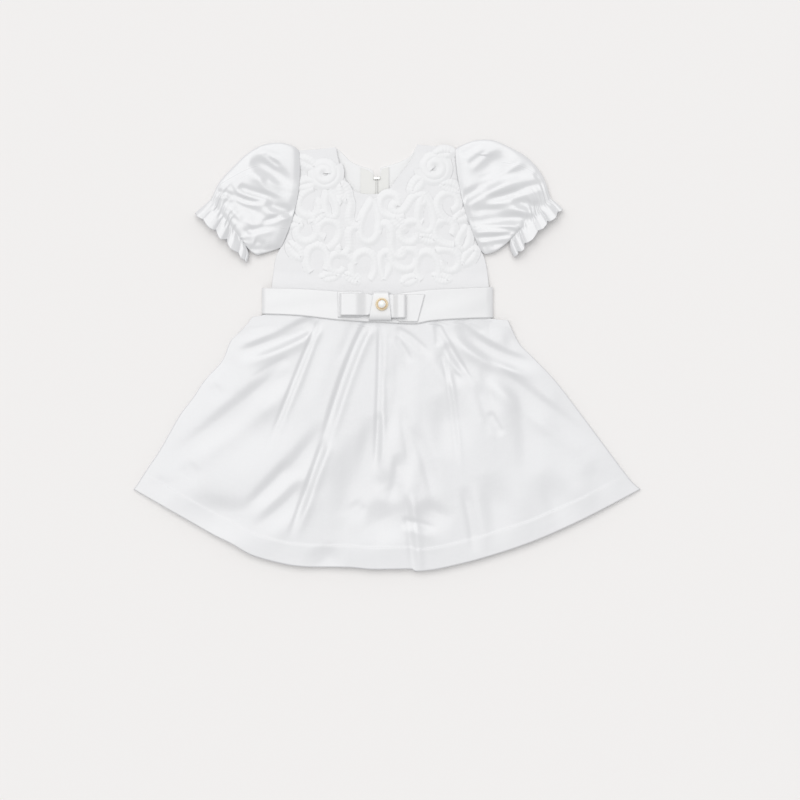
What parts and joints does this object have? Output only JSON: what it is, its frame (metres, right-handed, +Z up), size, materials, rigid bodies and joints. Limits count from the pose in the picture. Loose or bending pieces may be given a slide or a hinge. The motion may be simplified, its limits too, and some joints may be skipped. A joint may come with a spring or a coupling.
{
  "type": "baby dress",
  "caption": "Formal white satin baby dress laid flat: bodice with ribbon work, short puff sleeves, sash with a box bow and pearl button, flared pleated skirt.",
  "frame": {"origin": "middle of the dress's outline, at the bottom of its underside", "axes": "+Z up from the surface it lies on, +Y towards the neck, +X towards the viewer's right"},
  "size_m": [0.557, 0.4737, 0.0248],
  "materials": {
    "skirt_satin": "soft satin",
    "sleeve_satin": "crisp satin",
    "sash_satin": "smooth satin",
    "ribbon_net": "net over satin",
    "tape_weave": "woven tape",
    "slider_metal": "satin metal",
    "pale_gold": "polished",
    "pearl_lustre": "pearl lustre"
  },
  "bodies": {
    "root": {"skirt_front": "skirt_satin", "skirt_back": "skirt_satin", "bodice_front": "ribbon_net", "bodice_back_left": "skirt_satin", "bodice_back_right": "skirt_satin", "zip_tape_left": "tape_weave", "zip_tape_right": "tape_weave", "zip_slider": "slider_metal", "sleeve_left": "sleeve_satin", "sleeve_right": "sleeve_satin", "sash": "sash_satin", "bow_tail_left": "sash_satin", "bow_tail_right": "sash_satin", "bow_loop_left": "sash_satin", "bow_loop_right": "sash_satin", "bow_knot": "sash_satin", "button_ring": "pale_gold", "pearl": "pearl_lustre"}
  },
  "joints": []
}
